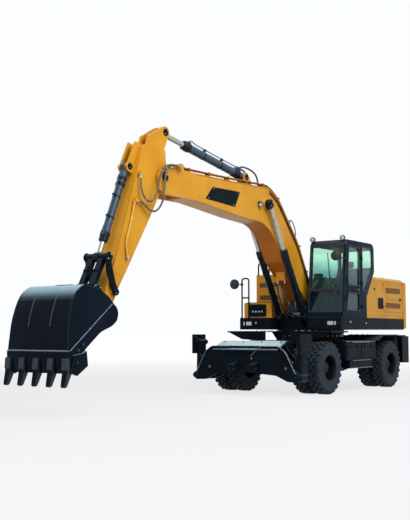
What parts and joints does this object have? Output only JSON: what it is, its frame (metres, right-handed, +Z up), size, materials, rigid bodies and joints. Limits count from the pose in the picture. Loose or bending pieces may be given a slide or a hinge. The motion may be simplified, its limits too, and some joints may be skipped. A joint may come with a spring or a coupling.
{
  "type": "wheeled excavator",
  "caption": "wheeled excavator with twin tyres, front stabilisers, a rear blade, a slewing deck with a glazed cab, and a digging boom, arm and bucket",
  "frame": {"origin": "middle of the machine's box at the ground, on its centre plane; the slewing axis stands 2.72 m behind it", "axes": "+Z up, -Y forward along the boom, +X to the operator's left"},
  "size_m": [2.6649, 10.9578, 4.8398],
  "materials": {
    "chassis": "satin",
    "yellow": "satin",
    "tyre": "matte",
    "rim": "satin",
    "cylinder": "gloss",
    "chrome": "polished",
    "glass": "gloss",
    "seat": "matte",
    "hose": "matte"
  },
  "bodies": {
    "undercarriage": {"chassis_frame": "chassis", "side_boxes": "chassis", "fenders": "chassis", "front_axle": "chassis", "rear_axle": "chassis", "stabiliser_frame": "chassis"},
    "knuckle_left": {"knuckle_left": "chassis"},
    "knuckle_right": {"knuckle_right": "chassis"},
    "wheel_front_left": {"tyres_front_left": "tyre", "rims_front_left": "rim"},
    "wheel_front_right": {"tyres_front_right": "tyre", "rims_front_right": "rim"},
    "wheel_rear_left": {"tyres_rear_left": "tyre", "rims_rear_left": "rim"},
    "wheel_rear_right": {"tyres_rear_right": "tyre", "rims_rear_right": "rim"},
    "stabiliser_leg_left": {"stabiliser_leg_left": "chassis"},
    "stabiliser_foot_left": {"stabiliser_foot_left": "chassis"},
    "stabiliser_barrel_left": {"stabiliser_barrel_left": "cylinder"},
    "stabiliser_rod_left": {"stabiliser_rod_left": "chrome"},
    "stabiliser_leg_right": {"stabiliser_leg_right": "chassis"},
    "stabiliser_foot_right": {"stabiliser_foot_right": "chassis"},
    "stabiliser_barrel_right": {"stabiliser_barrel_right": "cylinder"},
    "stabiliser_rod_right": {"stabiliser_rod_right": "chrome"},
    "blade_arms": {"blade_arms": "chassis"},
    "blade": {"dozer_blade": "chassis"},
    "blade_barrels": {"blade_barrels": "cylinder"},
    "blade_rods": {"blade_rods": "chrome"},
    "upper": {"upper_frame": "chassis", "cab_frame": "chassis", "cab_glass": "glass", "seat": "seat", "control_console": "chassis", "engine_hood": "yellow", "engine_block": "chassis", "counterweight": "yellow", "fuel_tank": "yellow", "tool_box": "yellow", "handrails": "chassis", "mirrors": "chassis", "boom_hose_left": "hose", "boom_hose_right": "hose"},
    "cab_door": {"cab_door": "chassis", "door_glass": "glass"},
    "engine_lid": {"engine_lid": "yellow"},
    "service_door": {"service_door": "yellow"},
    "boom": {"boom": "yellow", "arm_hose_outer": "hose", "arm_hose_inner": "hose"},
    "boom_barrels": {"boom_barrels": "cylinder"},
    "boom_rods": {"boom_rods": "chrome"},
    "arm": {"arm": "yellow"},
    "arm_barrel": {"arm_barrel": "cylinder"},
    "arm_rod": {"arm_rod": "chrome"},
    "bucket_barrel": {"bucket_barrel": "cylinder"},
    "bucket_rod": {"bucket_rod": "chrome"},
    "side_links": {"side_links": "chassis"},
    "bucket_link": {"bucket_link": "chassis"},
    "bucket": {"bucket": "chassis"}
  },
  "joints": [
    {"name": "slewing", "type": "hinge", "parent": "undercarriage", "child": "upper", "pos_m": [0, 2.72, 1.25], "axis": [0, 0, 1], "continuous": true},
    {"name": "steering_left", "type": "hinge", "parent": "undercarriage", "child": "knuckle_left", "pos_m": [0.6, 1.234, 0.527], "axis": [0, 0, 1], "range_deg": [-27, 27]},
    {"name": "steering_right", "type": "hinge", "parent": "undercarriage", "child": "knuckle_right", "pos_m": [-0.6, 1.234, 0.527], "axis": [0, 0, 1], "range_deg": [-27.05, 27.05]},
    {"name": "wheel_spin_front_left", "type": "hinge", "parent": "knuckle_left", "child": "wheel_front_left", "pos_m": [0.955, 1.234, 0.527], "axis": [1, 0, 0], "continuous": true},
    {"name": "wheel_spin_front_right", "type": "hinge", "parent": "knuckle_right", "child": "wheel_front_right", "pos_m": [-0.955, 1.234, 0.527], "axis": [1, 0, 0], "continuous": true},
    {"name": "wheel_spin_rear_left", "type": "hinge", "parent": "undercarriage", "child": "wheel_rear_left", "pos_m": [0.955, 4.175, 0.527], "axis": [1, 0, 0], "continuous": true},
    {"name": "wheel_spin_rear_right", "type": "hinge", "parent": "undercarriage", "child": "wheel_rear_right", "pos_m": [-0.955, 4.175, 0.527], "axis": [1, 0, 0], "continuous": true},
    {"name": "stabiliser_left", "type": "hinge", "parent": "undercarriage", "child": "stabiliser_leg_left", "pos_m": [1.19, 0.245, 0.37], "axis": [0, 1, 0], "range_deg": [0, 116]},
    {"name": "stabiliser_foot_tilt_left", "type": "hinge", "parent": "stabiliser_leg_left", "child": "stabiliser_foot_left", "pos_m": [1.19, 0.245, 1.04], "axis": [0, 1, 0], "range_deg": [-26.02, 0]},
    {"name": "stabiliser_barrel_swing_left", "type": "hinge", "parent": "undercarriage", "child": "stabiliser_barrel_left", "pos_m": [0.42, 0.245, 0.9], "axis": [0, 1, 0], "range_deg": [-3.36, 0]},
    {"name": "stabiliser_rod_slide_left", "type": "slide", "parent": "stabiliser_barrel_left", "child": "stabiliser_rod_left", "axis": [0.9064, 0, -0.4225], "range_m": [0, 0.4574]},
    {"name": "stabiliser_right", "type": "hinge", "parent": "undercarriage", "child": "stabiliser_leg_right", "pos_m": [-1.19, 0.245, 0.37], "axis": [0, -1, 0], "range_deg": [0, 116]},
    {"name": "stabiliser_foot_tilt_right", "type": "hinge", "parent": "stabiliser_leg_right", "child": "stabiliser_foot_right", "pos_m": [-1.19, 0.245, 1.04], "axis": [0, -1, 0], "range_deg": [-26.02, 0]},
    {"name": "stabiliser_barrel_swing_right", "type": "hinge", "parent": "undercarriage", "child": "stabiliser_barrel_right", "pos_m": [-0.42, 0.245, 0.9], "axis": [0, -1, 0], "range_deg": [-3.36, 0]},
    {"name": "stabiliser_rod_slide_right", "type": "slide", "parent": "stabiliser_barrel_right", "child": "stabiliser_rod_right", "axis": [-0.9064, 0, -0.4225], "range_m": [0, 0.4574]},
    {"name": "blade_lift", "type": "hinge", "parent": "undercarriage", "child": "blade_arms", "pos_m": [0, 4.6, 0.56], "axis": [-1, 0, 0], "range_deg": [0, 74]},
    {"name": "blade_level", "type": "hinge", "parent": "blade_arms", "child": "blade", "pos_m": [0, 4.95, 0.9], "axis": [-1, 0, 0], "range_deg": [-74.02, 0]},
    {"name": "blade_barrel_swing", "type": "hinge", "parent": "undercarriage", "child": "blade_barrels", "pos_m": [0, 4.695, 1.13], "axis": [-1, 0, 0], "range_deg": [-2.48, 0]},
    {"name": "blade_rod_slide", "type": "slide", "parent": "blade_barrels", "child": "blade_rods", "axis": [0, 0.1283, -0.9917], "range_m": [0, 0.2507]},
    {"name": "cab_door", "type": "hinge", "parent": "upper", "child": "cab_door", "pos_m": [1.258, 2.755, 2.3], "axis": [0, 0, 1], "range_deg": [0, 160]},
    {"name": "service_door", "type": "hinge", "parent": "upper", "child": "service_door", "pos_m": [1.222, 3.994, 2.05], "axis": [0, 0, -1], "range_deg": [0, 110]},
    {"name": "engine_lid", "type": "hinge", "parent": "upper", "child": "engine_lid", "pos_m": [0, 3.57, 2.498], "axis": [1, 0, 0], "range_deg": [0, 65]},
    {"name": "boom_lift", "type": "hinge", "parent": "upper", "child": "boom", "pos_m": [0, 2.42, 1.9], "axis": [-1, 0, 0], "range_deg": [-50, 40], "deforming": ["boom_hose_left", "boom_hose_right"]},
    {"name": "boom_barrel_swing", "type": "hinge", "parent": "upper", "child": "boom_barrels", "pos_m": [0, 1.92, 1.56], "axis": [-1, 0, 0], "range_deg": [-50.43, 40.35]},
    {"name": "boom_rod_slide", "type": "slide", "parent": "boom_barrels", "child": "boom_rods", "axis": [0, -0.5211, 0.8535], "range_m": [-0.4737, 0.379]},
    {"name": "arm_swing", "type": "hinge", "parent": "boom", "child": "arm", "pos_m": [0, -2.76, 3.9], "axis": [1, 0, 0], "range_deg": [-36, 74], "deforming": ["arm_hose_outer", "arm_hose_inner"]},
    {"name": "arm_barrel_swing", "type": "hinge", "parent": "boom", "child": "arm_barrel", "pos_m": [0, 0.02, 4.33], "axis": [1, 0, 0], "range_deg": [-2.41, 4.93]},
    {"name": "arm_rod_slide", "type": "slide", "parent": "arm_barrel", "child": "arm_rod", "axis": [0, -0.9885, 0.1515], "range_m": [-0.4599, 0.9447]},
    {"name": "bucket_curl", "type": "hinge", "parent": "arm", "child": "bucket", "pos_m": [0, -4.2, 1.5], "axis": [1, 0, 0], "range_deg": [-10, 140]},
    {"name": "side_link_swing", "type": "hinge", "parent": "arm", "child": "side_links", "pos_m": [0, -3.98, 1.87], "axis": [1, 0, 0], "range_deg": [-7.53, 105.1]},
    {"name": "bucket_link_swing", "type": "hinge", "parent": "side_links", "child": "bucket_link", "pos_m": [0, -4.16, 2.42], "axis": [1, 0, 0], "range_deg": [-61.84, 4.44]},
    {"name": "bucket_barrel_swing", "type": "hinge", "parent": "arm", "child": "bucket_barrel", "pos_m": [0, -3.52, 3.98], "axis": [1, 0, 0], "range_deg": [-2.55, 0.2]},
    {"name": "bucket_rod_slide", "type": "slide", "parent": "bucket_barrel", "child": "bucket_rod", "axis": [0, -0.3796, -0.9252], "range_m": [-0.066, 0.9169]}
  ],
  "couplings": [
    {"joint": "steering_right", "follows": "steering_left", "ratio": 1},
    {"joint": "stabiliser_foot_tilt_left", "follows": "stabiliser_left", "ratio": -0.2241},
    {"joint": "stabiliser_barrel_swing_left", "follows": "stabiliser_left", "ratio": -0.0288},
    {"joint": "stabiliser_rod_slide_left", "follows": "stabiliser_left", "m_per_rad": 0.2257},
    {"joint": "stabiliser_foot_tilt_right", "follows": "stabiliser_right", "ratio": -0.2241},
    {"joint": "stabiliser_barrel_swing_right", "follows": "stabiliser_right", "ratio": -0.0288},
    {"joint": "stabiliser_rod_slide_right", "follows": "stabiliser_right", "m_per_rad": 0.2257},
    {"joint": "blade_level", "follows": "blade_lift", "ratio": -1},
    {"joint": "blade_barrel_swing", "follows": "blade_lift", "ratio": -0.0332},
    {"joint": "blade_rod_slide", "follows": "blade_lift", "m_per_rad": 0.1937},
    {"joint": "boom_barrel_swing", "follows": "boom_lift", "ratio": 1.0082},
    {"joint": "boom_rod_slide", "follows": "boom_lift", "m_per_rad": 0.5422},
    {"joint": "arm_barrel_swing", "follows": "arm_swing", "ratio": 0.0664},
    {"joint": "arm_rod_slide", "follows": "arm_swing", "m_per_rad": 0.7311},
    {"joint": "side_link_swing", "follows": "bucket_curl", "ratio": 0.7506},
    {"joint": "bucket_link_swing", "follows": "bucket_curl", "ratio": -0.4416},
    {"joint": "bucket_barrel_swing", "follows": "bucket_curl", "ratio": -0.01805},
    {"joint": "bucket_rod_slide", "follows": "bucket_curl", "m_per_rad": 0.37505}
  ]
}
